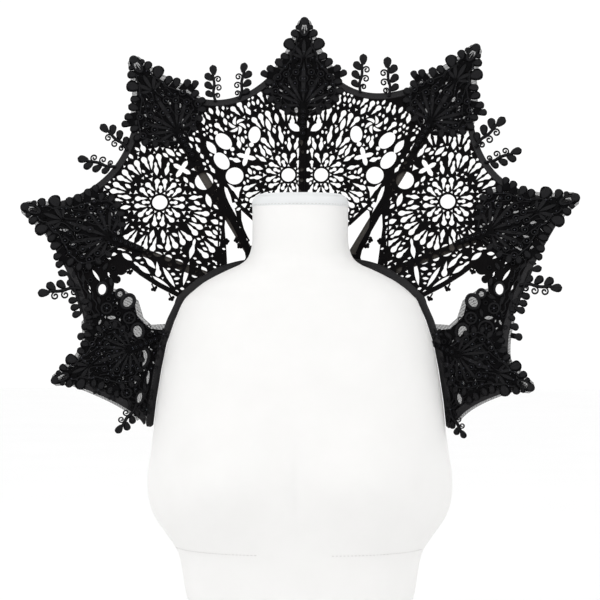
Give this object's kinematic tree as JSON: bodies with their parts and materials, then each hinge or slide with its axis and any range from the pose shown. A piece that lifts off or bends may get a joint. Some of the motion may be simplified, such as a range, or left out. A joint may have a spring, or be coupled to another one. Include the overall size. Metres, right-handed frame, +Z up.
{
  "type": "boned lace collar on a dress form",
  "caption": "Standing fan-shaped costume collar of black tracery and corded lace with boned spikes, resting round the neck and shoulders of a limbless white dress form.",
  "frame": {"origin": "centre of the dress form's flat base", "axes": "+Z up, the front faces -Y, +X is at the right seen from the front"},
  "size_m": [0.6771, 0.2913, 0.8788],
  "materials": {
    "jersey": "smooth white knitted cover",
    "cap": "white woven cover of the neck end",
    "tracery": "matt black laser-cut cloth",
    "lace": "black corded lace",
    "satin": "charcoal satin tape",
    "boning": "grey-brown sheer casing"
  },
  "bodies": {
    "root": {"dress_form": "jersey", "neck_cap": "cap", "tracery_back_left": "tracery", "tracery_side_left": "tracery", "lace_lower_left": "lace", "tracery_back_right": "tracery", "tracery_side_right": "tracery", "lace_lower_right": "lace", "strap_left": "satin", "strap_neck": "satin", "strap_right": "satin", "binding_end_left": "satin", "binding_lower_left": "satin", "binding_upper_left": "satin", "binding_top_left": "satin", "binding_top_right": "satin", "binding_upper_right": "satin", "binding_lower_right": "satin", "binding_end_right": "satin", "bone_lower_left": "boning", "motif_lower_left": "lace", "bone_side_left": "boning", "motif_side_left": "lace", "bone_upper_left": "boning", "motif_upper_left": "lace", "bone_top": "boning", "motif_top": "lace", "bone_upper_right": "boning", "motif_upper_right": "lace", "bone_side_right": "boning", "motif_side_right": "lace", "bone_lower_right": "boning", "motif_lower_right": "lace", "sprig_top_left_a": "lace", "sprig_top_left_b": "lace", "sprig_top_right_a": "lace", "sprig_top_right_b": "lace", "sprig_upper_left_a": "lace", "sprig_upper_left_b": "lace", "sprig_upper_right_a": "lace", "sprig_upper_right_b": "lace", "sprig_lower_left": "lace", "sprig_lower_right": "lace", "sprig_end_left": "lace", "sprig_end_right": "lace"}
  },
  "joints": []
}
